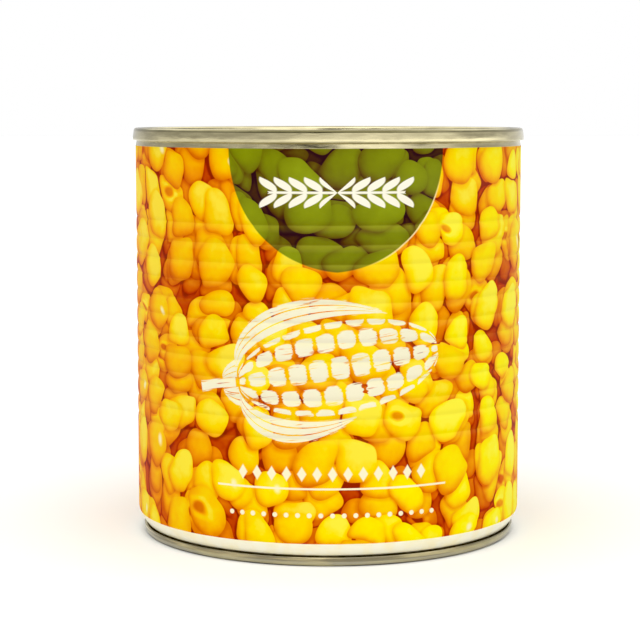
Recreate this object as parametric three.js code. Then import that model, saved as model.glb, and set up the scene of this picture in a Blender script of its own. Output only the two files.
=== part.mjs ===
// A closed food can of sweet corn: a three-piece tinplate can with its picture printed on the metal.
//
// The can is a body and two ends. Each end is rolled onto the flange of the body in a double seam,
// and its panel sits down inside the seam, below the rim. The body is one solid with its contents,
// because a shut can can't be seen into. Shallow beads ring its middle, and its foot is necked in,
// so that it stands in the recess of another can's top end.
//
// Millimetres, +Z up. The origin is the middle of the ring that the can stands on.
// Every profile is a list of [radius, height] points, turned about the Z axis.

import * as THREE from 'three';

// ---- driving dimensions ----
const CAN_HEIGHT = 87.8;
const BODY_RADIUS = 41.75;
const TOP_SEAM_RADIUS = 42.35;
const BOTTOM_SEAM_RADIUS = 40.6;
const SIDES = 60; // flats round the can: every piece has the same, so that the gaps stay even
const GAP = 0.3; // clearance between pieces that touch in the real can

// ---- double seam and end, as depths below the rim ----
const TOP_SEAM_HEIGHT = 2.6;
const BOTTOM_SEAM_HEIGHT = 2.45;
const SEAM_THICKNESS = 1.35;
const SEAM_LIP = 0.35; // rounding of the seam's lower edge
const CROWN_OUTER = 0.5; // rounding of the rim, outside
const CROWN_INNER = 0.35; // rounding of the rim, inside
const WALL_INSET = 1.45; // from the seam's outer face to the outside of the chuck wall
const SHEET = 0.8; // thickness of the end, heavier than the real sheet of 0.2 mm
const PANEL_DEPTH = 4.5;
const COUNTERSINK_DEPTH = 5.3;
const COUNTERSINK_WIDTH = 0.7;
const COUNTERSINK_SLOPE = 0.8; // how far the panel's edge leans inwards over its height

// ---- rings pressed into the panel of each end ----
const RING_SLOPE = 0.9;
const SUNK_RING = { inner: 31.0, outer: 34.4, depth: 4.9 };
const RAISED_RING = { inner: 21.0, outer: 25.4, depth: 4.28 };

// ---- body ----
const NECK_RADIUS = 41.6; // just under the top seam
const NECK_END_DEPTH = 4.1; // where the printed wall starts, below the rim
const FOOT_RADIUS = 40.05; // in the crevice above the bottom seam
const FOOT_START = 5.9; // height at which the wall begins to neck in
const FOOT_ROUND = 4; // steps in the curve of the neck-in
const BEAD_COUNT = 12;
const BEAD_PITCH = 3.88;
const BEAD_WIDTH = 2.4;
const BEAD_DEPTH = 0.25;
const TOP_BEAD_DEPTH = 18.9; // middle of the highest bead, below the rim

// ---- finishes ----
const PRINTED = new THREE.MeshStandardMaterial({ color: '#f4b40e', roughness: 0.3, metalness: 0.1 });
const TINPLATE = new THREE.MeshStandardMaterial({ color: '#c9c2a8', roughness: 0.25, metalness: 1.0 });

/** Points on a circular arc round [x, y], from one angle to another, in degrees, ends included. */
function arc(x, y, radius, from, to, steps) {
  return Array.from({ length: steps + 1 }, (_, i) => {
    const angle = THREE.MathUtils.degToRad(from + ((to - from) * i) / steps);
    return [x + radius * Math.cos(angle), y + radius * Math.sin(angle)];
  });
}

/** One closed piece: a profile that starts and ends on the axis, turned about Z. */
function turned(name, profile, material) {
  const points = profile.map(([radius, height]) => new THREE.Vector2(radius, height));
  const geometry = new THREE.LatheGeometry(points, SIDES).rotateX(Math.PI / 2);
  const mesh = new THREE.Mesh(geometry, material);
  mesh.name = name;
  return mesh;
}

/** A pressed ring in the panel, from its outer foot inwards, as [radius, depth]. */
function pressedRing({ inner, outer, depth }) {
  return [
    [outer, PANEL_DEPTH],
    [outer - RING_SLOPE, depth],
    [inner + RING_SLOPE, depth],
    [inner, PANEL_DEPTH],
  ];
}

/**
 * An end, as [radius, depth below its rim]. The profile runs from the axis outwards along the side
 * that faces the food, round the double seam, and back to the axis over the panel.
 */
function endProfile(seamRadius, seamHeight) {
  const wallOutside = seamRadius - WALL_INSET;
  const wallInside = wallOutside - SHEET;
  const panelRadius = wallInside - COUNTERSINK_WIDTH - COUNTERSINK_SLOPE;
  const crownInside = seamRadius - SEAM_THICKNESS;
  return [
    [0, PANEL_DEPTH + SHEET],
    [panelRadius - SHEET, PANEL_DEPTH + SHEET],
    [panelRadius, COUNTERSINK_DEPTH + SHEET],
    [wallOutside - SHEET / 2, COUNTERSINK_DEPTH + SHEET],
    [wallOutside, COUNTERSINK_DEPTH],
    [wallOutside, seamHeight],
    ...arc(seamRadius - SEAM_LIP, seamHeight - SEAM_LIP, SEAM_LIP, 90, 0, 2),
    ...arc(seamRadius - CROWN_OUTER, CROWN_OUTER, CROWN_OUTER, 0, -90, 3),
    ...arc(crownInside + CROWN_INNER, CROWN_INNER, CROWN_INNER, -90, -180, 2),
    [wallInside, COUNTERSINK_DEPTH],
    [wallInside - COUNTERSINK_WIDTH, COUNTERSINK_DEPTH],
    [panelRadius, PANEL_DEPTH],
    ...pressedRing(SUNK_RING),
    ...pressedRing(RAISED_RING),
    [0, PANEL_DEPTH],
  ];
}

/** The hollow in the body that takes an end, as [radius, depth below the rim], from the axis outwards. */
function pocketProfile(seamRadius, seamHeight) {
  const wall = seamRadius - WALL_INSET + GAP;
  const panelRadius = seamRadius - WALL_INSET - SHEET - COUNTERSINK_WIDTH - COUNTERSINK_SLOPE;
  return [
    [0, PANEL_DEPTH + SHEET + GAP],
    [panelRadius - SHEET - GAP, PANEL_DEPTH + SHEET + GAP],
    [panelRadius - GAP, COUNTERSINK_DEPTH + SHEET + GAP],
    [wall, COUNTERSINK_DEPTH + SHEET + GAP],
    [wall, seamHeight + GAP],
  ];
}

/** The neck-in above the bottom seam: out from the crevice in a cone that rounds into the wall. */
function footProfile() {
  const bottom = BOTTOM_SEAM_HEIGHT + GAP;
  return Array.from({ length: FOOT_ROUND + 1 }, (_, i) => {
    const rise = i / FOOT_ROUND;
    const reach = Math.sin((rise * Math.PI) / 2);
    return [FOOT_RADIUS + (BODY_RADIUS - FOOT_RADIUS) * reach, bottom + (FOOT_START - bottom) * rise];
  });
}

/** The beads, from the lowest to the highest: shallow grooves rolled round the wall. */
function beadProfile() {
  const top = CAN_HEIGHT - TOP_BEAD_DEPTH;
  return Array.from({ length: BEAD_COUNT }, (_, i) => {
    const middle = top - (BEAD_COUNT - 1 - i) * BEAD_PITCH;
    return [
      [BODY_RADIUS, middle - BEAD_WIDTH / 2],
      [BODY_RADIUS - BEAD_DEPTH, middle],
      [BODY_RADIUS, middle + BEAD_WIDTH / 2],
    ];
  }).flat();
}

const fromTop = ([radius, depth]) => [radius, CAN_HEIGHT - depth];

/** The printed body with the food in it. */
function canBody() {
  const neckTop = TOP_SEAM_HEIGHT + GAP;
  return turned(
    'can_body',
    [
      ...pocketProfile(BOTTOM_SEAM_RADIUS, BOTTOM_SEAM_HEIGHT),
      ...footProfile(),
      ...beadProfile(),
      fromTop([BODY_RADIUS, NECK_END_DEPTH]),
      fromTop([NECK_RADIUS, (NECK_END_DEPTH + neckTop) / 2]),
      fromTop([NECK_RADIUS, neckTop]),
      ...pocketProfile(TOP_SEAM_RADIUS, TOP_SEAM_HEIGHT).map(fromTop).reverse(),
    ],
    PRINTED,
  );
}

/** The end with the wider seam, at the top. */
function topEnd() {
  return turned('top_end', endProfile(TOP_SEAM_RADIUS, TOP_SEAM_HEIGHT).map(fromTop), TINPLATE);
}

/** The end that the can stands on, the other way up. */
function bottomEnd() {
  return turned('bottom_end', endProfile(BOTTOM_SEAM_RADIUS, BOTTOM_SEAM_HEIGHT).reverse(), TINPLATE);
}

const can = new THREE.Group();
can.add(canBody(), topEnd(), bottomEnd());

export default can;
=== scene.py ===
import math

import bmesh
import bpy
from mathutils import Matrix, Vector


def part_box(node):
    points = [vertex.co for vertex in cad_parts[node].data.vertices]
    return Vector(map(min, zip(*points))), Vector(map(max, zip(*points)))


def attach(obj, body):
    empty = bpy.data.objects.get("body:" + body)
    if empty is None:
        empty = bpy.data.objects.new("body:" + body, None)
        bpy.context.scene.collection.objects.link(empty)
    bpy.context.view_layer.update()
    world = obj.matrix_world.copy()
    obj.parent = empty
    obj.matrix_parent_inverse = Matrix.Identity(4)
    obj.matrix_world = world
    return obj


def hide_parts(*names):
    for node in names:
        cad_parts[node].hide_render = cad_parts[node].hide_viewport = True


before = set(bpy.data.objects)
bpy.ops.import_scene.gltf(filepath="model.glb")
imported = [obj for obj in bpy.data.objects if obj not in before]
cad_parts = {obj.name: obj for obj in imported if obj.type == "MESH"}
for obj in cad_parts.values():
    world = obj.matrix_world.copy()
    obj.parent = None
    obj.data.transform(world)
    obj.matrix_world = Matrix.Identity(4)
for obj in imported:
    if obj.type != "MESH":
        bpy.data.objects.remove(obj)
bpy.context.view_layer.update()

# ---------------------------------------------------------------------------------------------
# Printed body. Real: a sheet of tinplate 0.2 mm thick, printed flat with a picture of loose corn
# kernels, varnished, rolled into a tube and lap-welded down the back. Twelve shallow beads are
# rolled round its middle, and its foot is necked in above the bottom seam.
# ---------------------------------------------------------------------------------------------
MM = 0.001
ROUND_STEPS = 288  # facets round the can, too fine to see

# All sizes are in mm. The outside ones come from the frame.
CAN_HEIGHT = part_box("top_end")[1].z / MM
TOP_SEAM_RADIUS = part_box("top_end")[1].x / MM
WALL_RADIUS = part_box("can_body")[1].x / MM
BOTTOM_SEAM_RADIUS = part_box("bottom_end")[1].x / MM

TOP_SEAM_HEIGHT = 2.6
NECK_RADIUS = WALL_RADIUS - 0.25
NECK_TOP = CAN_HEIGHT - TOP_SEAM_HEIGHT - 0.02
NECK_END = CAN_HEIGHT - 3.75  # the print starts here
NECK_ROUNDING = (0.03, 0.13)  # how far in and how far up the wall has turned into the neck

FOOT_RADIUS = BOTTOM_SEAM_RADIUS - 0.55
FOOT_START = 5.9
FOOT_STEPS = 14
PRINT_FOOT = 4.9  # the print ends here, in the neck-in

CREVICE_LOW = 1.95  # the groove between the body and the bottom seam
CREVICE_WIDTH = 0.28
CREVICE_TOP = CREVICE_LOW + CREVICE_WIDTH
CREVICE_DEPTH = 0.28
CREVICE_INNER_SHARE = 0.8  # how much of its width is left at its inner end

WALL_INSET = 1.45  # from a seam's outer face to the outside of the end's wall, which stands in the body
POCKET_GAP = 0.1
POCKET_DEPTH = 6.3  # from a rim down to the body's flat face under the end
TOP_POCKET_RADIUS = TOP_SEAM_RADIUS - WALL_INSET + POCKET_GAP
BOTTOM_POCKET_RADIUS = BOTTOM_SEAM_RADIUS - WALL_INSET + POCKET_GAP

BEAD_COUNT = 12
BEAD_PITCH = 3.88
BEAD_DEPTH = 0.2
BEAD_POWER = 3  # the higher, the narrower the groove and the broader the land
BEAD_STEPS = 12
TOP_BEAD = CAN_HEIGHT - 18.9
BEADS_LOW = TOP_BEAD - (BEAD_COUNT - 0.5) * BEAD_PITCH

WELD_WIDTH = 0.8
WELD_RISE = 0.07
WELD_STEPS = 8
WELD_MARGIN = 3.4  # bare metal on each side of the weld

even_turns = [math.tau * step / ROUND_STEPS for step in range(ROUND_STEPS)]
weld_turns = [math.pi + WELD_WIDTH / WALL_RADIUS * (step / WELD_STEPS - 0.5)
              for step in range(WELD_STEPS + 1)]
margin_turns = [math.pi - WELD_MARGIN / WALL_RADIUS, math.pi + WELD_MARGIN / WALL_RADIUS]
body_turns = sorted({*even_turns, *weld_turns, *margin_turns})


def weld_rise(turn):
    """How far the lap of the weld stands out, in mm: a low smooth ridge down the back."""
    across = min(1, abs(turn - math.pi) * WALL_RADIUS * 2 / WELD_WIDTH)
    return WELD_RISE * math.cos(math.pi / 2 * across) ** 2


def turned(name, profile, materials, zone, turns=even_turns, rise=lambda turn: 0):
    """A closed piece from a profile of (radius, height) points in mm that starts and ends on the axis.

    zone(radius, height, turn) gives the number of the material at the middle of a face."""
    shape = bmesh.new()
    rings = []
    for radius, height in profile:
        if radius == 0:
            rings.append([shape.verts.new((0, 0, height * MM))] * len(turns))
            continue
        reach = [(radius + rise(turn)) * MM for turn in turns]
        rings.append([shape.verts.new((far * math.sin(turn), -far * math.cos(turn), height * MM))
                      for far, turn in zip(reach, turns)])
    for (start, end), (low, high) in zip(zip(profile, profile[1:]), zip(rings, rings[1:])):
        middle = [(here + there) / 2 for here, there in zip(start, end)]
        for here, turn in enumerate(turns):
            there = (here + 1) % len(turns)
            face = shape.faces.new(dict.fromkeys((low[here], low[there], high[there], high[here])))
            face.smooth = True
            face.material_index = zone(*middle, turn)
    mesh = bpy.data.meshes.new(name)
    shape.to_mesh(mesh)
    shape.free()
    mesh.set_sharp_from_angle(angle=math.radians(50))
    for material in materials:
        mesh.materials.append(material)
    piece = bpy.data.objects.new(name, mesh)
    bpy.context.scene.collection.objects.link(piece)
    return piece


def foot_curve():
    """The neck-in: from the crevice above the bottom seam out into the wall."""
    return [(FOOT_RADIUS + (WALL_RADIUS - FOOT_RADIUS) * math.sin(math.pi / 2 * step / FOOT_STEPS),
             CREVICE_TOP + (FOOT_START - CREVICE_TOP) * step / FOOT_STEPS)
            for step in range(FOOT_STEPS + 1)]


def beads():
    """Grooves with a rounded land between them, from the lowest to the highest."""
    points = []
    for step in range(BEAD_COUNT * BEAD_STEPS + 1):
        from_groove = abs(step / BEAD_STEPS % 1 - 0.5) * 2  # 0 in a groove, 1 on the land
        points.append((WALL_RADIUS - BEAD_DEPTH * (1 - from_groove) ** BEAD_POWER,
                       BEADS_LOW + BEAD_PITCH * step / BEAD_STEPS))
    return points


body_profile = [
    (0, POCKET_DEPTH),
    (BOTTOM_POCKET_RADIUS, POCKET_DEPTH),
    (BOTTOM_POCKET_RADIUS, CREVICE_LOW),
    (FOOT_RADIUS - CREVICE_DEPTH, CREVICE_LOW),
    (FOOT_RADIUS - CREVICE_DEPTH, CREVICE_LOW + CREVICE_WIDTH * CREVICE_INNER_SHARE),
    *foot_curve(),
    *beads(),
    (WALL_RADIUS, NECK_END),
    (WALL_RADIUS - NECK_ROUNDING[0], NECK_END + NECK_ROUNDING[1]),
    (NECK_RADIUS, NECK_TOP),
    (TOP_POCKET_RADIUS, NECK_TOP),
    (TOP_POCKET_RADIUS, CAN_HEIGHT - POCKET_DEPTH),
    (0, CAN_HEIGHT - POCKET_DEPTH),
]


def add(tree, kind, *links, stops=(), **given):
    """Adds a shader node. Settings and sockets go by name, and links or values fill its sockets in order.

    stops are the (place, hex colour) pairs of a colour ramp."""
    made = tree.nodes.new("ShaderNode" + kind)
    for name in [name for name in given if hasattr(made, name)]:
        setattr(made, name, given.pop(name))
    sockets = dict(zip([socket for socket in made.inputs if socket.enabled], links))
    sockets.update({made.inputs[name.replace("_", " ")]: value for name, value in given.items()})
    for socket, value in sockets.items():
        if isinstance(value, bpy.types.Node):
            value = next(output for output in value.outputs if output.enabled)
        if isinstance(value, bpy.types.NodeSocket):
            tree.links.new(value, socket)
        else:
            socket.default_value = value
    for place, colour in stops[2:]:
        made.color_ramp.elements.new(place)
    for number, (place, colour) in enumerate(stops):
        made.color_ramp.elements[number].position = place
        made.color_ramp.elements[number].color = linear(colour)
    return made


def linear(hex_colour):
    """An sRGB hex colour as linear RGBA."""
    parts = (int(hex_colour[place:place + 2], 16) / 255 for place in (1, 3, 5))
    return (*(part / 12.92 if part <= 0.04045 else ((part + 0.055) / 1.055) ** 2.4 for part in parts), 1)


def new_finish(name):
    """A new material and its empty node tree."""
    material = bpy.data.materials.new(name)
    material.use_nodes = True
    material.node_tree.nodes.clear()
    return material, material.node_tree


def span(low, high):
    """The middle and the half width that a Compare node needs to pick out low to high."""
    return (low + high) / 2, (high - low) / 2


# Litho ink on tinplate, stoved and varnished: a matt picture under a clear gloss skin.
litho, ink = new_finish("litho-printed and varnished tinplate")

# The sheet's flat pattern in mm: how far round from the front, and how high.
spot = add(ink, "SeparateXYZ", add(ink, "TexCoord").outputs["Object"])
toward = add(ink, "Math", spot.outputs["Y"], -1, operation="MULTIPLY")
turn = add(ink, "Math", spot.outputs["X"], toward, operation="ARCTAN2")
around = add(ink, "Math", turn, WALL_RADIUS, operation="MULTIPLY")
height = add(ink, "Math", spot.outputs["Z"], 1 / MM, operation="MULTIPLY")
flat = add(ink, "CombineXYZ", around, height)

# No two kernels are alike: a slow drift and a short wobble bend the whole pattern.
BENDS = ((26, 6), (5, 1.1))  # the length and the reach of each
bent = flat
for length, reach in BENDS:
    bend = add(ink, "TexNoise", flat, noise_dimensions="2D", Scale=1 / length, Detail=0)
    bend = add(ink, "VectorMath", bend.outputs["Color"], (-0.5, -0.5, 0), operation="ADD")
    bent = add(ink, "VectorMath", bend, (reach, reach, 0), bent, operation="MULTIPLY_ADD")

KERNEL_SCATTER = 0.66  # 0 would set the kernels in rows, and 1 strews them
KERNEL_LEAN = 1.5  # radians to either side
KERNEL_SHRINK = (1.22, 0.92)  # for the smallest kernel and the largest
KERNEL_NARROWING = 0.2  # of a kernel towards its tip
KERNEL_SQUARENESS = 2.3  # 2 would be an oval
KERNEL_EDGE = (0.98, 1.02)  # the rim values where it fades into what is under it
KERNEL_BORDER = 1.04  # the rim value where the next kernel presses
KERNEL_PRESSING = 0.4  # how softly the outline turns flat there
LIGHT_FROM = (0.5, 0.85)
AWAY_SHADE = (1, 0.3)  # how strong its dark rim and its shadow are, away from the light and towards it
KERNEL_SLOPE = 0.12  # how much lighter a kernel is towards the light
RIM_POWER = 3.5
RIM_DARK = 0.34
TONE_SPREAD = 0.2
WARMTH_SPREAD = 0.5
KERNEL_TIP = (0, -0.2, 0)
KERNEL_TIP_SHAPE = (1.5, 1, 0)
HOLLOW_EDGE = (0.5, 0.2)
HOLLOW_DARK = 0.42
LIP_EDGE = (0.8, 0.6)
LIP_LIGHT = 0.08
OPEN_SHARE = 0.06
KERNEL_GLEAM = (-0.1, -0.4, 0)
KERNEL_GLEAM_SHAPE = (1, 1.5, 0)
KERNEL_GLEAM_EDGE = (0.35, 0.05)
WET_SHARE = 0.14
SHADOW_END = 1.22


def kernels(under, shift, spacing, size, tone, warmth, shade, shine):
    """Lays a sheet of kernels over what is under it. The three numbers mixed are tone, warmth and shine.

    rim is 0 in the middle of a kernel and 1 on its outline."""
    place = add(ink, "VectorMath", bent, (*shift, 0), operation="ADD")
    grid = dict(voronoi_dimensions="2D", Scale=1 / spacing, Randomness=KERNEL_SCATTER)
    one = add(ink, "TexVoronoi", place, feature="F1", **grid)
    away = add(ink, "VectorMath", place, one.outputs["Position"], operation="SUBTRACT")
    draw = add(ink, "SeparateXYZ", one.outputs["Color"])

    # Its outline: an egg leaning its own way, flattened where the next one presses.
    lean = add(ink, "MapRange", draw.outputs["X"], 0, 1, -KERNEL_LEAN, KERNEL_LEAN)
    own = add(ink, "VectorRotate", away, Angle=lean, rotation_type="Z_AXIS")
    small = add(ink, "MapRange", draw.outputs["Y"], 0, 1, *KERNEL_SHRINK)
    own = add(ink, "VectorMath", own, (1 / size[0], 1 / size[1], 0), operation="MULTIPLY")
    own = add(ink, "VectorMath", own, Scale=small, operation="SCALE")
    parts = add(ink, "SeparateXYZ", own)
    narrow = add(ink, "Math", parts.outputs["Y"], KERNEL_NARROWING, 1, operation="MULTIPLY_ADD")
    wide = add(ink, "Math", parts.outputs["X"], narrow, operation="MULTIPLY")
    shape = add(ink, "CombineXYZ", wide, parts.outputs["Y"])
    shape = add(ink, "VectorMath", shape, operation="ABSOLUTE")
    shape = add(ink, "VectorMath", shape, (KERNEL_SQUARENESS, KERNEL_SQUARENESS, 1), operation="POWER")
    shape = add(ink, "VectorMath", shape, (1, 1, 0), operation="DOT_PRODUCT")
    rim = add(ink, "Math", shape.outputs["Value"], 1 / KERNEL_SQUARENESS, operation="POWER")
    edge = add(ink, "TexVoronoi", place, feature="DISTANCE_TO_EDGE", **grid)
    edge = add(ink, "Math", edge, -spacing / size[0], KERNEL_BORDER, operation="MULTIPLY_ADD")
    rim = add(ink, "Math", rim, edge, KERNEL_PRESSING, operation="SMOOTH_MAX")
    inside = add(ink, "MapRange", rim, *KERNEL_EDGE, 1, 0, interpolation_type="SMOOTHSTEP")

    # Its light comes from the upper right: flat and bright there, and deep at the rim on the other side.
    toward_light = (LIGHT_FROM[0] / size[0], LIGHT_FROM[1] / size[1], 0)
    facing = add(ink, "VectorMath", away, toward_light, operation="DOT_PRODUCT")
    turned_away = add(ink, "MapRange", facing.outputs["Value"], -1, 1, *AWAY_SHADE)
    round_off = add(ink, "Math", rim, RIM_POWER, operation="POWER")
    round_off = add(ink, "Math", round_off, turned_away, operation="MULTIPLY")
    lit = add(ink, "Math", facing.outputs["Value"], KERNEL_SLOPE, tone, operation="MULTIPLY_ADD")
    lit = add(ink, "Math", round_off, -RIM_DARK, lit, operation="MULTIPLY_ADD")
    lit = add(ink, "Math", draw.outputs["Z"], TONE_SPREAD, lit, operation="MULTIPLY_ADD")
    warm = add(ink, "Math", draw.outputs["Y"], WARMTH_SPREAD, warmth, operation="MULTIPLY_ADD")

    # A few are cut open at the tip and hollow inside a pale lip, and some catch the light.
    tip = add(ink, "VectorMath", own, KERNEL_TIP, operation="ADD")
    tip = add(ink, "VectorMath", tip, KERNEL_TIP_SHAPE, operation="MULTIPLY")
    tip = add(ink, "VectorMath", tip, operation="LENGTH").outputs["Value"]
    hollow = add(ink, "MapRange", tip, *HOLLOW_EDGE, 0, HOLLOW_DARK, interpolation_type="SMOOTHSTEP")
    lip = add(ink, "MapRange", tip, *LIP_EDGE, 0, LIP_LIGHT, interpolation_type="SMOOTHSTEP")
    hollow = add(ink, "Math", lip, hollow, operation="SUBTRACT")
    open_one = add(ink, "Math", draw.outputs["X"], OPEN_SHARE, operation="LESS_THAN")
    lit = add(ink, "Math", hollow, open_one, lit, operation="MULTIPLY_ADD")
    gleam = add(ink, "VectorMath", own, KERNEL_GLEAM, operation="ADD")
    gleam = add(ink, "VectorMath", gleam, KERNEL_GLEAM_SHAPE, operation="MULTIPLY")
    gleam = add(ink, "VectorMath", gleam, operation="LENGTH").outputs["Value"]
    gleam = add(ink, "MapRange", gleam, *KERNEL_GLEAM_EDGE, 0, shine, interpolation_type="SMOOTHSTEP")
    wet_one = add(ink, "Math", draw.outputs["X"], 1 - WET_SHARE, operation="GREATER_THAN")
    gleam = add(ink, "Math", gleam, wet_one, operation="MULTIPLY")
    face = add(ink, "CombineXYZ", lit, warm, gleam)

    # Its shadow on what is under it, deepest below.
    fall = add(ink, "MapRange", rim, 1, SHADOW_END, shade, 0, interpolation_type="SMOOTHSTEP")
    fall = add(ink, "Math", fall, turned_away, operation="MULTIPLY")
    dark = add(ink, "CombineXYZ", fall, 0, 0)
    shaded = add(ink, "VectorMath", under, dark, operation="SUBTRACT")
    return add(ink, "Mix", inside, shaded, face, data_type="VECTOR")


# The heap, from the bottom up: where each sheet starts, how far apart its kernels are and their half size,
# all in mm, and then its tone, warmth, shadow and shine. Under them all is a dark warm gap.
HEAP_GAP = (0.12, 0.9, 0)
HEAP_SHEETS = (
    ((3.7, 51.2), 7.6, (3.6, 4.4), 0.3, 0.3, 0.1, 0),
    ((40.3, 7.9), 9.4, (3.9, 4.6), 0.54, 0.1, 0.14, 0),
    ((65.9, 31.4), 9.2, (3.8, 4.5), 0.6, 0.0, 0.16, 0),
    ((17.1, 88.6), 10.4, (4.0, 4.8), 0.64, -0.15, 0.17, 0.8))
heap = HEAP_GAP
for sheet in HEAP_SHEETS:
    heap = kernels(heap, *sheet)
heap = add(ink, "SeparateXYZ", heap)

# Skins are a little mottled, and the picture is more orange towards the upper left.
MOTTLE_SIZE = 2.2
MOTTLE = 0.14
MORE_ORANGE_TOWARDS = (-12, 4.5, 0)  # for each metre aside and up
ORANGE_SHIFT = 0.3
mottle = add(ink, "TexNoise", flat, noise_dimensions="2D", Scale=1 / MOTTLE_SIZE, Detail=3)
grain = add(ink, "Math", mottle, MOTTLE, -MOTTLE / 2, operation="MULTIPLY_ADD")
tone = add(ink, "Math", heap.outputs["X"], grain, operation="ADD", use_clamp=True)
LEMON = ((0, "#9c2c04"), (0.05, "#c43c04"), (0.14, "#e06208"), (0.3, "#ea820e"), (0.4, "#f4a210"),
         (0.48, "#f9ba12"), (0.54, "#fdcd12"), (0.6, "#fede10"), (0.67, "#ffea0c"), (0.73, "#fff10c"),
         (0.8, "#fff744"))
AMBER = ((0, "#8e2204"), (0.06, "#b43004"), (0.18, "#cc5406"), (0.34, "#de7408"), (0.43, "#ec8a0a"),
         (0.5, "#f29a0c"), (0.56, "#f6a90c"), (0.64, "#fabc0c"), (0.73, "#fad010"), (0.8, "#fde03c"))
orange_share = add(ink, "CombineXYZ", spot.outputs["X"], spot.outputs["Z"])
orange_share = add(ink, "VectorMath", orange_share, MORE_ORANGE_TOWARDS, operation="DOT_PRODUCT")
orange_share = add(ink, "Math", orange_share.outputs["Value"], ORANGE_SHIFT, operation="ADD")
orange_share = add(ink, "Math", orange_share, heap.outputs["Y"], operation="ADD", use_clamp=True)
lemon = add(ink, "ValToRGB", tone, stops=LEMON)
amber = add(ink, "ValToRGB", tone, stops=AMBER)
picture = add(ink, "Mix", orange_share, lemon, amber, data_type="RGBA")
picture = add(ink, "Mix", heap.outputs["Z"], picture, linear("#fff6c8"), data_type="RGBA")

# A green field hangs from the top edge: the picture overprinted in green, in a blunt pointed arch.
FIELD_MIDDLE = 1.8
FIELD_WIDTH = 45
FIELD_RADIUS = 24.5
FIELD_EDGE = 0.1
GREEN = ((0, "#30131a"), (0.2, "#4d2d12"), (0.35, "#625014"), (0.5, "#716e16"), (0.65, "#7d8416"),
         (0.8, "#889218"), (1, "#96a61e"))
lobes = []
for side in (-1, 1):
    centre = (FIELD_MIDDLE + side * (FIELD_RADIUS - FIELD_WIDTH / 2), NECK_END, 0)
    lobes.append(add(ink, "VectorMath", flat, centre, operation="DISTANCE").outputs["Value"])
reach = add(ink, "Math", *lobes, operation="MAXIMUM")
field = add(ink, "MapRange", reach, FIELD_RADIUS - FIELD_EDGE, FIELD_RADIUS + FIELD_EDGE, 1, 0)
green = add(ink, "ValToRGB", tone, stops=GREEN)
picture = add(ink, "Mix", field, picture, green, data_type="RGBA")

# The green plate lies a hair to the left, so that a pale line of base coat shows at the field's right edge.
PLATE_SLIP = (FIELD_RADIUS - 0.08, FIELD_RADIUS + 0.24)
PLATE_SLIP_STRENGTH = 0.7
PLATE_SLIP_ASIDE = (FIELD_MIDDLE + 6, FIELD_MIDDLE + 14)  # it comes in from here to here
PLATE_SLIP_DOWN = (NECK_END - 6, NECK_END - 10)
slip = add(ink, "Math", reach, *span(*PLATE_SLIP), operation="COMPARE")
right = add(ink, "MapRange", around, *PLATE_SLIP_ASIDE, 0, PLATE_SLIP_STRENGTH)
right = add(ink, "MapRange", height, *PLATE_SLIP_DOWN, 0, right)
slip = add(ink, "Math", slip, right, operation="MULTIPLY")
picture = add(ink, "Mix", slip, picture, linear("#fff3b4"), data_type="RGBA")

# In the field lies a plain cream sprig: a stem with pairs of pointed leaves that lean out from its middle.
SPRIG_HEIGHT = 75.4
LEAF_PITCH = 3.05
SPRIG_REACH = 4.5 * LEAF_PITCH
LEAF_LENGTH = 4.6
LEAF_WIDTH = 0.85
LEAF_LEAN = math.radians(42)
STEM_WIDTH = 0.24
INK_EDGE = 0.08
sprig = add(ink, "VectorMath", flat, (-FIELD_MIDDLE, -SPRIG_HEIGHT, 0), operation="ADD")
sprig = add(ink, "SeparateXYZ", add(ink, "VectorMath", sprig, operation="ABSOLUTE"))
root = add(ink, "Math", sprig.outputs["Y"], -1 / math.tan(LEAF_LEAN), sprig.outputs["X"],
           operation="MULTIPLY_ADD")
across = add(ink, "Math", root, LEAF_PITCH / 2, operation="PINGPONG")
across = add(ink, "Math", across, math.sin(LEAF_LEAN), operation="MULTIPLY")
leaf_height = math.sin(LEAF_LEAN) * LEAF_LENGTH
along = add(ink, "Math", sprig.outputs["Y"], 2 / leaf_height, -1, operation="MULTIPLY_ADD")
belly = add(ink, "Math", along, along, operation="MULTIPLY")
belly = add(ink, "Math", belly, LEAF_WIDTH, -LEAF_WIDTH, operation="MULTIPLY_ADD")
belly = add(ink, "Math", across, belly, operation="ADD")
leaves = add(ink, "MapRange", belly, -INK_EDGE, INK_EDGE, 1, 0)
stem = add(ink, "MapRange", sprig.outputs["Y"], STEM_WIDTH - INK_EDGE, STEM_WIDTH + INK_EDGE, 1, 0)
sprig = add(ink, "Math", leaves, stem, operation="MAXIMUM")
ends = add(ink, "Math", root, *span(0, SPRIG_REACH), operation="COMPARE")
sprig = add(ink, "Math", sprig, ends, operation="MULTIPLY")
picture = add(ink, "Mix", sprig, picture, linear("#fdf8e4"), data_type="RGBA")

# Across the middle an ear of corn is painted in dry cream strokes: dabs in rows, two husks and a stem.
EAR_MIDDLE = (2.4, 40.6)
EAR_TILT = math.radians(9)
EAR_HALF_LENGTH = 21.5
EAR_HALF_WIDTH = 9.4
EAR_ROWS = 5
DAB_PITCH = 4.3
DAB_SIZE = (2.35, 2.5)  # one over the half size of a dab, as a share of its place
DAB_SQUARENESS = 3
DAB_RAGGED = 1.6
DAB_EDGE = (0.85, 1.05)
ROW_ENDS = 0.985  # rows and dabs stop just short of the ear's outline and of its pointed ends
BARE_ENDS = 0.2
HUSK_BASE = -25.0
HUSK_LENGTHS = (27, 37)  # below and above
HUSK_WIDTH = 5.2
HUSK_GAP = 0.9
HUSK_SPREAD = 2.6 * HUSK_WIDTH  # because the shape sqrt(x) * (1 - x) is 1 / 2.6 where it is widest
HUSK_ROOT = 12
HUSK_RAGGED = 1.2
VEIN_PITCH = HUSK_SPREAD / 3  # so that two bare veins run along each husk
VEIN_HALF = 0.36
STALK_RUN = (-30.5, -22.0)
STALK_EDGE = (0.95, 1.1)
STALK_RAGGED = 1.5
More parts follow.
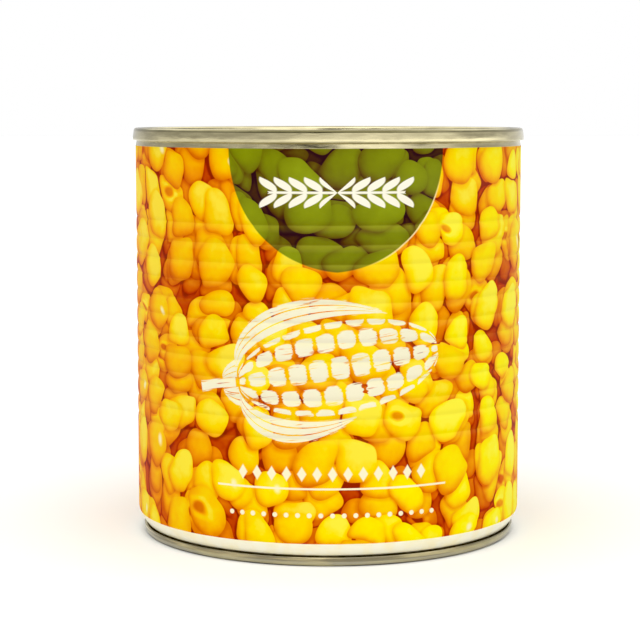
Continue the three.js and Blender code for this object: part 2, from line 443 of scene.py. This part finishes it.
BRISTLE = (7, 0.55)  # the length and the width of a bristle's mark
DRY = (-0.2, -0.13)  # where the brush ran dry, the picture shows through
DRY_COVER = 0.2
canvas = add(ink, "VectorMath", flat, (-EAR_MIDDLE[0], -EAR_MIDDLE[1], 0), operation="ADD")
canvas = add(ink, "VectorRotate", canvas, Angle=-EAR_TILT, rotation_type="Z_AXIS")
bristle = add(ink, "VectorMath", canvas, (1 / BRISTLE[0], 1 / BRISTLE[1], 0), operation="MULTIPLY")
bristle = add(ink, "TexNoise", bristle, noise_dimensions="2D", Scale=1, Detail=3)
bristle = add(ink, "Math", bristle, -0.5, operation="ADD")
canvas = add(ink, "SeparateXYZ", canvas)
taper = add(ink, "Math", canvas.outputs["X"], 1 / EAR_HALF_LENGTH, operation="MULTIPLY")
taper = add(ink, "Math", taper, taper, operation="MULTIPLY")
taper = add(ink, "Math", 1, taper, operation="SUBTRACT", use_clamp=True)
half_width = add(ink, "Math", taper, 0.5, operation="POWER")
half_width = add(ink, "Math", half_width, EAR_HALF_WIDTH, operation="MULTIPLY")
share = add(ink, "Math", canvas.outputs["Y"], half_width, operation="DIVIDE")
row = add(ink, "Math", share, operation="ARCSINE")
row = add(ink, "Math", row, EAR_ROWS / math.pi, operation="MULTIPLY")
row_number = add(ink, "Math", row, operation="ROUND")
place = add(ink, "Math", canvas.outputs["X"], 1 / DAB_PITCH, operation="MULTIPLY")
place = add(ink, "Math", row_number, 0.5, place, operation="MULTIPLY_ADD")
place_number = add(ink, "Math", place, operation="ROUND")
dab = add(ink, "CombineXYZ", place, row)
whole = add(ink, "CombineXYZ", place_number, row_number)
dab = add(ink, "VectorMath", dab, whole, operation="SUBTRACT")
dab = add(ink, "VectorMath", dab, operation="ABSOLUTE")
dab = add(ink, "VectorMath", dab, (*DAB_SIZE, 0), operation="MULTIPLY")
dab = add(ink, "VectorMath", dab, (DAB_SQUARENESS, DAB_SQUARENESS, 1), operation="POWER")
dab = add(ink, "VectorMath", dab, (1, 1, 0), operation="DOT_PRODUCT")
dab = add(ink, "Math", bristle, DAB_RAGGED, dab.outputs["Value"], operation="MULTIPLY_ADD")
dab = add(ink, "MapRange", dab, *DAB_EDGE, 1, 0)
on_ear = add(ink, "Math", share, 0, ROW_ENDS, operation="COMPARE")
dab = add(ink, "Math", dab, on_ear, operation="MULTIPLY")
not_tip = add(ink, "Math", half_width, EAR_HALF_WIDTH * BARE_ENDS, operation="GREATER_THAN")
dab = add(ink, "Math", dab, not_tip, operation="MULTIPLY")

husk_length = add(ink, "Math", canvas.outputs["Y"], 0, operation="GREATER_THAN")
husk_length = add(ink, "MapRange", husk_length, 0, 1, *HUSK_LENGTHS)
reach = add(ink, "Math", canvas.outputs["X"], -HUSK_BASE, operation="ADD")
reach = add(ink, "Math", reach, husk_length, operation="DIVIDE", use_clamp=True)
thick = add(ink, "Math", reach, 0.5, operation="POWER")
narrow = add(ink, "Math", 1, reach, operation="SUBTRACT")
thick = add(ink, "Math", thick, narrow, operation="MULTIPLY")
clear = add(ink, "Math", canvas.outputs["Y"], operation="ABSOLUTE")
clear = add(ink, "Math", clear, half_width, operation="SUBTRACT")
clear = add(ink, "Math", clear, -HUSK_GAP, operation="ADD")
deep = add(ink, "Math", thick, HUSK_SPREAD, operation="MULTIPLY")
deep = add(ink, "Math", deep, clear, operation="SUBTRACT")
deep = add(ink, "Math", deep, clear, operation="MINIMUM")
root = add(ink, "Math", thick, HUSK_ROOT, operation="MULTIPLY")
deep = add(ink, "Math", deep, root, operation="MINIMUM")
deep = add(ink, "Math", bristle, -HUSK_RAGGED, deep, operation="MULTIPLY_ADD")
husk = add(ink, "MapRange", deep, -INK_EDGE, INK_EDGE, 0, 1)
on_husk = add(ink, "Math", thick, 0.01, operation="GREATER_THAN")
husk = add(ink, "Math", husk, on_husk, operation="MULTIPLY")
vein = add(ink, "Math", clear, thick, operation="DIVIDE")
vein = add(ink, "Math", vein, VEIN_PITCH / 2, operation="PINGPONG")
vein = add(ink, "Math", vein, VEIN_HALF, operation="GREATER_THAN")
husk = add(ink, "Math", husk, vein, operation="MULTIPLY")

stalk = add(ink, "Math", canvas.outputs["Y"], operation="ABSOLUTE")
stalk = add(ink, "Math", bristle, STALK_RAGGED, stalk, operation="MULTIPLY_ADD")
stalk = add(ink, "MapRange", stalk, *STALK_EDGE, 1, 0)
stalk_run = add(ink, "Math", canvas.outputs["X"], *span(*STALK_RUN), operation="COMPARE")
stalk = add(ink, "Math", stalk, stalk_run, operation="MULTIPLY")
paint = add(ink, "Math", dab, husk, operation="MAXIMUM")
paint = add(ink, "Math", paint, stalk, operation="MAXIMUM")
dry = add(ink, "MapRange", bristle, *DRY, DRY_COVER, 1)
paint = add(ink, "Math", paint, dry, operation="MULTIPLY")
picture = add(ink, "Mix", paint, picture, linear("#f7f1d2"), data_type="RGBA")

# Under it a row of small diamonds, a thin rule and a row of dots.
ROW_MIDDLE = 0.9
DIAMOND_HEIGHT = 19.1
DIAMOND_PITCH = 3.1
DIAMOND_SIZE = (0.95, 1.5)
DIAMOND_REACH = 6.5 * DIAMOND_PITCH
RULE_HEIGHT = 16.1
RULE_HALF = 0.2
RULE_REACH = 24.5
DOT_HEIGHT = 10.7
DOT_PITCH = 2.35
DOT_RADIUS = 0.5
DOT_REACH = 9.5 * DOT_PITCH
MARK_EDGE = (0.9, 1.1)
aside = add(ink, "Math", around, -ROW_MIDDLE, operation="ADD")
for low, pitch, reach, size, power in (
        (DIAMOND_HEIGHT, DIAMOND_PITCH, DIAMOND_REACH, DIAMOND_SIZE, 1),
        (DOT_HEIGHT, DOT_PITCH, DOT_REACH, (DOT_RADIUS, DOT_RADIUS), 2)):
    along = add(ink, "Math", aside, pitch / 2, operation="PINGPONG")
    above = add(ink, "Math", height, -low, operation="ADD")
    mark = add(ink, "CombineXYZ", along, above)
    mark = add(ink, "VectorMath", mark, (1 / size[0], 1 / size[1], 0), operation="MULTIPLY")
    mark = add(ink, "VectorMath", mark, operation="ABSOLUTE")
    mark = add(ink, "VectorMath", mark, (power, power, 1), operation="POWER")
    mark = add(ink, "VectorMath", mark, (1, 1, 0), operation="DOT_PRODUCT")
    mark = add(ink, "MapRange", mark.outputs["Value"], *MARK_EDGE, 1, 0)
    run = add(ink, "Math", aside, 0, reach, operation="COMPARE")
    mark = add(ink, "Math", mark, run, operation="MULTIPLY")
    picture = add(ink, "Mix", mark, picture, linear("#fdf4d0"), data_type="RGBA")
rule = add(ink, "Math", height, RULE_HEIGHT, RULE_HALF, operation="COMPARE")
run = add(ink, "Math", aside, 0, RULE_REACH, operation="COMPARE")
rule = add(ink, "Math", rule, run, operation="MULTIPLY")
picture = add(ink, "Mix", rule, picture, linear("#fdf4d0"), data_type="RGBA")

# Painted light on the beads: a painted highlight just below the bottom of each groove, weakest where the
# picture is dark, and painted shade just above it.
GROOVE_PAINTED_HIGHLIGHT = (-1.7, -0.15)  # from where to where, measured up from the bottom of a groove
GROOVE_PAINTED_SHADE = (1.2, 0.1)
PAINTED_HIGHLIGHT_STRENGTH = 0.11
PAINTED_SHADE_STRENGTH = 0.07
DARK_TONES = (0.1, 0.5)
PAINTED_HIGHLIGHT_ON_DARK = 0.2
groove = add(ink, "Math", height, -TOP_BEAD, operation="ADD")
groove = add(ink, "Math", groove, BEAD_PITCH / 2, -BEAD_PITCH / 2, operation="WRAP")
bead_painted_highlight = add(ink, "MapRange", groove, *GROOVE_PAINTED_HIGHLIGHT, 0, PAINTED_HIGHLIGHT_STRENGTH, interpolation_type="SMOOTHSTEP")
below = add(ink, "MapRange", groove, GROOVE_PAINTED_HIGHLIGHT[1], GROOVE_PAINTED_SHADE[1], 1, 0)
bead_painted_highlight = add(ink, "Math", bead_painted_highlight, below, operation="MULTIPLY")
# dull here is the strength of the painted shade just above each groove
dull = add(ink, "MapRange", groove, *GROOVE_PAINTED_SHADE, 0, PAINTED_SHADE_STRENGTH, interpolation_type="SMOOTHSTEP")
above = add(ink, "Math", 1, below, operation="SUBTRACT")
dull = add(ink, "Math", dull, above, operation="MULTIPLY")
beaded = span(BEADS_LOW, BEADS_LOW + BEAD_COUNT * BEAD_PITCH)
beaded = add(ink, "Math", height, *beaded, operation="COMPARE")
bead_painted_highlight = add(ink, "Math", bead_painted_highlight, beaded, operation="MULTIPLY")
dull = add(ink, "Math", dull, beaded, operation="MULTIPLY")
bright = add(ink, "MapRange", tone, *DARK_TONES, PAINTED_HIGHLIGHT_ON_DARK, 1)
bead_painted_highlight = add(ink, "Math", bead_painted_highlight, bright, operation="MULTIPLY")
# the painted highlight below each groove, in pale yellow, then the painted shade above it, in dark brown
picture = add(ink, "Mix", bead_painted_highlight, picture, linear("#fff759"), data_type="RGBA")
picture = add(ink, "Mix", dull, picture, linear("#7a4404"), data_type="RGBA")

varnish = add(ink, "BsdfPrincipled", Base_Color=picture, Roughness=0.5, IOR=1.5, Specular_IOR_Level=0,
              Coat_Weight=0.15, Coat_Roughness=0.14, Coat_IOR=1.5)
add(ink, "OutputMaterial", varnish)

# White base coat: the enamel laid under the inks, left bare below the picture, varnished like the rest.
GRIME_SIZE = 3
base_coat, coat = new_finish("white base coat enamel")
grime = add(coat, "TexCoord").outputs["Object"]
grime = add(coat, "TexNoise", grime, Scale=1 / (GRIME_SIZE * MM), Detail=3)
cream = add(coat, "ValToRGB", grime, stops=((0.35, "#fff8d4"), (0.6, "#fffde8")))
enamel = add(coat, "BsdfPrincipled", Base_Color=cream, Roughness=0.45, IOR=1.5, Coat_Weight=0.6,
             Coat_Roughness=0.14, Coat_IOR=1.5)
add(coat, "OutputMaterial", enamel)

# Bright tinplate: cold-rolled steel with a flow-melted tin skin, a warm grey mirror with soft rolled
# streaks. A painted dark reflection runs as a line round the top rim, and the seam that the can stands on
# is scuffed and painted darker, most of all at its lower edge, as shade.
TIN_STREAK = (6, 0.9)  # length and width, drawn coarser than the real streaks, so that they show
PANEL_STREAK = (2, 2.2)  # on a panel they are so many times as long, and so many times as fine
TIN_ROUGHNESS = (0.1, 0.22)
PAINTED_DARK_LINE_DEPTH = 0.42  # the middle of the painted dark line, below the rim
PAINTED_DARK_LINE_HALF = 0.34
PAINTED_DARK_LINE_SPREAD = (12, 30, 0.4)  # full in front and behind, to this far aside, and weak from here on
SCUFF_AND_SHADE_SIZE = (16, 0.8)  # the length and the width of a patch of scuffs and painted shade
SCUFF_AND_SHADE_HEIGHT = 1.9  # the whole face of the bottom seam
SCUFF_AND_SHADE_FADE = 0.2
SEAM_FACE = WALL_RADIUS - 0.1  # metal outside this radius is on a seam's outer face


def tinplate(name, streaks_round, relief):
    """Bright tinplate, with its rolled streaks running round the can or straight across an end.

    relief is how strongly the streaks stand out."""
    material, tin = new_finish(name)
    place = add(tin, "TexCoord").outputs["Object"]
    spot = add(tin, "SeparateXYZ", place)
    height = add(tin, "Math", spot.outputs["Z"], 1 / MM, operation="MULTIPLY")
    if streaks_round:
        toward = add(tin, "Math", spot.outputs["Y"], -1, operation="MULTIPLY")
        turn = add(tin, "Math", spot.outputs["X"], toward, operation="ARCTAN2")
        around = add(tin, "Math", turn, WALL_RADIUS, operation="MULTIPLY")
        along = add(tin, "CombineXYZ", around, height)
    else:
        across = (1 / (PANEL_STREAK[0] * MM), PANEL_STREAK[1] / MM, 0)
        along = add(tin, "VectorMath", place, across, operation="MULTIPLY")
    roll = add(tin, "VectorMath", along, (1 / TIN_STREAK[0], 1 / TIN_STREAK[1], 0), operation="MULTIPLY")
    roll = add(tin, "TexNoise", roll, noise_dimensions="2D", Scale=1, Detail=3)
    dull = add(tin, "MapRange", roll, 0.3, 0.7, *TIN_ROUGHNESS)
    ripple = add(tin, "Bump", Height=roll, Strength=relief, Distance=0.1 * MM)

    out = add(tin, "CombineXYZ", spot.outputs["X"], spot.outputs["Y"])
    out = add(tin, "VectorMath", out, operation="LENGTH")
    out = add(tin, "Math", out.outputs["Value"], SEAM_FACE * MM, operation="GREATER_THAN")
    # Painted dark reflection: a dark line just under the top rim on the seams' outer faces, strongest in
    # front and behind.
    painted_dark_line = add(tin, "Math", height, PAINTED_DARK_LINE_DEPTH - CAN_HEIGHT, operation="ADD")
    painted_dark_line = add(tin, "Math", painted_dark_line, operation="ABSOLUTE")
    near, far, weak = PAINTED_DARK_LINE_SPREAD
    dark_line_strength = add(tin, "Math", spot.outputs["X"], operation="ABSOLUTE")
    dark_line_strength = add(tin, "MapRange", dark_line_strength, near * MM, far * MM, 1, weak)
    painted_dark_line = add(tin, "MapRange", painted_dark_line, PAINTED_DARK_LINE_HALF, PAINTED_DARK_LINE_HALF / 2, 0, dark_line_strength,
                 interpolation_type="SMOOTHSTEP")
    painted_dark_line = add(tin, "Math", painted_dark_line, out, operation="MULTIPLY")
    # Scuffs and painted shade on the bottom seam: patches of darker metal, darkest at its lower edge.
    scuff_and_shade = add(tin, "VectorMath", along, (1 / SCUFF_AND_SHADE_SIZE[0], 1 / SCUFF_AND_SHADE_SIZE[1], 0), operation="MULTIPLY")
    scuff_and_shade = add(tin, "TexNoise", scuff_and_shade, noise_dimensions="2D", Scale=1, Detail=4)
    scuff_and_shade = add(tin, "MapRange", scuff_and_shade, 0.4, 0.62, 1, 0.2)
    low = add(tin, "MapRange", height, SCUFF_AND_SHADE_HEIGHT, SCUFF_AND_SHADE_HEIGHT + SCUFF_AND_SHADE_FADE, 1, 0)
    scuff_and_shade = add(tin, "Math", scuff_and_shade, low, operation="MULTIPLY")
    plate = add(tin, "ValToRGB", roll, stops=((0.35, "#b1a885"), (0.6, "#c1b893")))
    scuffed_and_shaded = add(tin, "Math", height, 1 / SCUFF_AND_SHADE_HEIGHT, operation="MULTIPLY")
    scuffed_and_shaded = add(tin, "ValToRGB", scuffed_and_shaded, stops=(
        (0.06, "#4a463a"), (0.2, "#aba694"), (0.44, "#aba694"), (0.58, "#837d69"), (0.95, "#7b7561")))
    plate = add(tin, "Mix", scuff_and_shade, plate, scuffed_and_shaded, data_type="RGBA")
    # the painted dark reflection line goes on last
    plate = add(tin, "Mix", painted_dark_line, plate, linear("#5c573c"), data_type="RGBA")
    metal = add(tin, "BsdfPrincipled", Base_Color=plate, Metallic=1, Roughness=dull, Normal=ripple)
    add(tin, "OutputMaterial", metal)
    return material


bare = tinplate("bright tinplate", True, 0.25)

# The lap weld: a line of small round nuggets, browned and dulled by its heat.
NUGGET_PITCH = 0.9
lap, weld = new_finish("heat-tinted lap weld")
spot = add(weld, "SeparateXYZ", add(weld, "TexCoord").outputs["Object"])
nugget = add(weld, "Math", spot.outputs["Z"], NUGGET_PITCH / 2 * MM, operation="PINGPONG")
nugget = add(weld, "Math", nugget, 2 / (NUGGET_PITCH * MM), operation="MULTIPLY")
tint = add(weld, "ValToRGB", nugget, stops=((0, "#5f5646"), (0.4, "#8d8068"), (1, "#a39a7e")))
dent = add(weld, "Bump", Height=nugget, Strength=0.6, Distance=0.08 * MM)
seam_metal = add(weld, "BsdfPrincipled", Base_Color=tint, Metallic=1, Roughness=0.35, Normal=dent)
add(weld, "OutputMaterial", seam_metal)

# Painted crevice shade: a dark mottled brown laid in the crevice above the bottom seam, where shade falls.
CREVICE_SHADE_MOTTLE_SIZE = 1.5
crevice_shade, crevice_shade_nodes = new_finish("painted crevice shade")
crevice_shade_mottle = add(crevice_shade_nodes, "TexCoord").outputs["Object"]
crevice_shade_mottle = add(crevice_shade_nodes, "TexNoise", crevice_shade_mottle, Scale=1 / (CREVICE_SHADE_MOTTLE_SIZE * MM), Detail=2)
crevice_shade_mottle = add(crevice_shade_nodes, "ValToRGB", crevice_shade_mottle, stops=((0.4, "#564a30"), (0.65, "#7c7056")))
crevice_shade_surface = add(crevice_shade_nodes, "BsdfPrincipled", Base_Color=crevice_shade_mottle, Roughness=0.7, IOR=1.5)
add(crevice_shade_nodes, "OutputMaterial", crevice_shade_surface)


def body_zone(radius, height, turn):
    """0 on the print, 1 on bare metal, 2 on base coat below the print, 3 in the crevice, 4 on the weld."""
    if height < CREVICE_TOP:
        return 3
    if weld_turns[0] <= turn < weld_turns[-1]:
        return 4
    if height > NECK_END or margin_turns[0] <= turn < margin_turns[1]:
        return 1
    return 0 if height > PRINT_FOOT else 2


body_finishes = (litho, bare, base_coat, crevice_shade, lap)
body = turned("body_wall", body_profile, body_finishes, body_zone, body_turns, weld_rise)
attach(body, "root")
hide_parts("can_body")

# ---------------------------------------------------------------------------------------------
# Ends. Real: a disc of tinplate with rings pressed in its panel, whose curl is rolled together
# with the body's flange into a double seam. The bottom one is the same end, seamed on a neck.
# ---------------------------------------------------------------------------------------------
SEAM_THICKNESS = 1.35
SEAM_BELLY = 0.8  # the seam is nearly upright up to here, above its lower edge, and then leans in
SEAM_LEAN = 0.03
SEAM_TAPER = 0.3
SHEET = 0.8
PANEL_DEPTH = 4.5
COUNTERSINK_DEPTH = 5.3
COUNTERSINK_WIDTH = 0.7
COUNTERSINK_SLOPE = 0.8
RING_SLOPE = 0.9
SUNK_RING = (31.0, 34.4, 4.9)  # inner and outer radius, and depth
RAISED_RING = (21.0, 25.4, 4.28)
RING_ROUNDING = 0.4
PANEL_EDGE = 37.8
CORNER_STEPS = 6


def rounded(corners):
    """A profile from (across, depth, rounding) corners: each is cut back by its rounding and curved."""
    points = []
    for number, (across, depth, rounding) in enumerate(corners):
        here = Vector((across, depth))
        if not rounding:
            points.append(tuple(here))
            continue
        back = (Vector(corners[number - 1][:2]) - here).normalized() * rounding
        ahead = (Vector(corners[number + 1][:2]) - here).normalized() * rounding
        for step in range(CORNER_STEPS + 1):
            share = step / CORNER_STEPS
            points.append(tuple(here + back * (1 - share) ** 2 + ahead * share ** 2))
    return points


def pressed_ring(inner, outer, depth):
    """The corners of a ring pressed in the panel, from outside in."""
    return [
        (outer, PANEL_DEPTH, RING_ROUNDING),
        (outer - RING_SLOPE, depth, RING_ROUNDING),
        (inner + RING_SLOPE, depth, RING_ROUNDING),
        (inner, PANEL_DEPTH, RING_ROUNDING),
    ]


def end_profile(seam_radius, seam_height):
    """Half of an end's section, as (radius, depth below its rim), from the food side round to the panel."""
    wall = seam_radius - WALL_INSET
    panel = wall - SHEET - COUNTERSINK_WIDTH - COUNTERSINK_SLOPE
    return rounded([
        (0, PANEL_DEPTH + SHEET, 0),
        (panel - SHEET, PANEL_DEPTH + SHEET, 0.3),
        (panel, COUNTERSINK_DEPTH + SHEET, 0.3),
        (wall, COUNTERSINK_DEPTH + SHEET, 0.4),
        (wall, seam_height, 0),
        (seam_radius, seam_height, 0.2),
        (seam_radius - SEAM_LEAN, seam_height - SEAM_BELLY, 0.4),
        (seam_radius - SEAM_TAPER, 0, 0.55),
        (seam_radius - SEAM_THICKNESS, 0, 0.6),
        (wall - SHEET, COUNTERSINK_DEPTH, 0.3),
        (wall - SHEET - COUNTERSINK_WIDTH, COUNTERSINK_DEPTH, 0.3),
        (panel, PANEL_DEPTH, 0.35),
        *pressed_ring(*SUNK_RING),
        *pressed_ring(*RAISED_RING),
        (0, PANEL_DEPTH, 0),
    ])


def end_zone(radius, height, turn):
    """1 on the panel, 0 on the seam and the wall inside it."""
    return int(radius < PANEL_EDGE)


BOTTOM_SEAM_HEIGHT = CREVICE_LOW - 0.05
panel_plate = tinplate("bright tinplate, rolled across", False, 0.1)
top_half = end_profile(TOP_SEAM_RADIUS, TOP_SEAM_HEIGHT)
top_profile = [(radius, CAN_HEIGHT - depth) for radius, depth in top_half]
bottom_profile = end_profile(BOTTOM_SEAM_RADIUS, BOTTOM_SEAM_HEIGHT)[::-1]
for node, profile in (("top_end", top_profile), ("bottom_end", bottom_profile)):
    end = turned(node + "_seamed", profile, (bare, panel_plate), end_zone)
    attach(end, "root")
    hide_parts(node)

# ---------------------------------------------------------------------------------------------
# Studio: a white paper floor in a light tent. Its shade is soft and even. The metal mirrors, from below
# upwards, a bright strip round it, grey panels, a white band with darker seams, and the roof.
# ---------------------------------------------------------------------------------------------
FLOOR_SIZE = 6.0
floor_mesh = bpy.data.meshes.new("floor")
plane = bmesh.new()
bmesh.ops.create_grid(plane, x_segments=1, y_segments=1, size=FLOOR_SIZE)
plane.to_mesh(floor_mesh)
plane.free()
floor = bpy.data.objects.new("floor", floor_mesh)
bpy.context.scene.collection.objects.link(floor)
paper, sweep = new_finish("white paper sweep")
sheet = add(sweep, "BsdfPrincipled", Base_Color=linear("#f7f7f5"), Roughness=0.9)
add(sweep, "OutputMaterial", sheet)
floor_mesh.materials.append(paper)

TENT_LIGHT = 0.45
STRIP_LIGHT = 2.5
PANEL_LIGHT = 1.3
WALL_LIGHT = 1.9
ROOF_FRONT = 2.6
ROOF_SIDE = 1.6
ROOF_TOP = 1.05
LAMP_LIGHT = 2.45
LAMP_LEAN = 15
LAMP_ANGLE = 70
world = bpy.data.worlds.new("studio")
world.use_nodes = True
bpy.context.scene.world = world
room = world.node_tree
room.nodes.clear()
way = add(room, "SeparateXYZ", add(room, "TexCoord").outputs["Generated"])
toward = add(room, "Math", way.outputs["Y"], -1, operation="MULTIPLY")
bearing = add(room, "Math", way.outputs["X"], toward, operation="ARCTAN2")
bearing = add(room, "Math", bearing, 1 / math.tau, 0.5, operation="MULTIPLY_ADD")  # 0.5 is the front
strip = add(room, "ValToRGB", bearing, stops=(
    (0.15, "#959595"), (0.25, "#cccccc"), (0.4, "#cfcfcf"), (0.47, "#ffffff"), (0.78, "#ffffff"),
    (0.86, "#a8a8a8")))
strip = add(room, "Math", strip, STRIP_LIGHT, operation="MULTIPLY")
panels = add(room, "ValToRGB", bearing, stops=(
    (0.27, "#b4b4b4"), (0.4, "#d0d0d0"), (0.47, "#ffffff"), (0.71, "#ffffff"), (0.75, "#c0c0c0"),
    (0.86, "#c8c8c8")))
panels = add(room, "Math", panels, PANEL_LIGHT, operation="MULTIPLY")
wall = add(room, "ValToRGB", bearing, stops=(
    (0.1, "#dedede"), (0.16, "#a6a6a6"), (0.4, "#a6a6a6"), (0.44, "#3c3c3c"), (0.51, "#3c3c3c"),
    (0.53, "#ffffff"), (0.62, "#ffffff"), (0.65, "#909090"), (0.7, "#a0a0a0"), (0.73, "#606060"),
    (0.82, "#606060"), (0.86, "#cfcfcf")))
wall = add(room, "Math", wall, WALL_LIGHT, operation="MULTIPLY")
roof = add(room, "MapRange", way.outputs["Z"], 0.8, 0.94, ROOF_SIDE, ROOF_TOP)
roof = add(room, "MapRange", way.outputs["Y"], -0.6, -0.1, ROOF_FRONT, roof)
mirrored = roof
for high, low, belt in ((0.5, 0.45, wall), (0.375, 0.34, panels), (0.13, 0.06, strip)):
    below = add(room, "MapRange", way.outputs["Z"], high, low, 0, 1, interpolation_type="SMOOTHSTEP")
    mirrored = add(room, "Mix", below, mirrored, belt, data_type="FLOAT")
path = add(room, "LightPath")
light = add(room, "Mix", path.outputs["Is Glossy Ray"], TENT_LIGHT, mirrored, data_type="FLOAT")
light = add(room, "Math", light, path.outputs["Is Camera Ray"], operation="MAXIMUM")
add(room, "OutputWorld", add(room, "Background", (1, 1, 1, 1), light))

overhead = bpy.data.lights.new("overhead", "SUN")
overhead.energy = LAMP_LIGHT
overhead.angle = math.radians(LAMP_ANGLE)
lamp = bpy.data.objects.new("overhead", overhead)
bpy.context.scene.collection.objects.link(lamp)
lamp.rotation_euler = (math.radians(LAMP_LEAN), 0, 0)
lamp.visible_glossy = False

CAMERA_DISTANCE = 0.428
CAMERA_HEIGHT = 0.0918
CAMERA_PITCH = 6.145  # degrees down
CAMERA_YAW = 0.24
FOCAL_PIXELS = 1959
FRAME_PIXELS = 640
BLACK_LEVEL = 0.01
camera = bpy.data.cameras.new("camera")
camera.sensor_width = 36
camera.lens = FOCAL_PIXELS / FRAME_PIXELS * camera.sensor_width
camera.clip_start = 0.01
eye = bpy.data.objects.new("camera", camera)
bpy.context.scene.collection.objects.link(eye)
eye.location = (0, -CAMERA_DISTANCE, CAMERA_HEIGHT)
eye.rotation_euler = (math.radians(90 - CAMERA_PITCH), 0, math.radians(CAMERA_YAW))
bpy.context.scene.camera = eye
view = bpy.context.scene.view_settings
view.view_transform = "Standard"
view.use_curve_mapping = True
view.curve_mapping.black_level = [BLACK_LEVEL] * 3
view.curve_mapping.update()
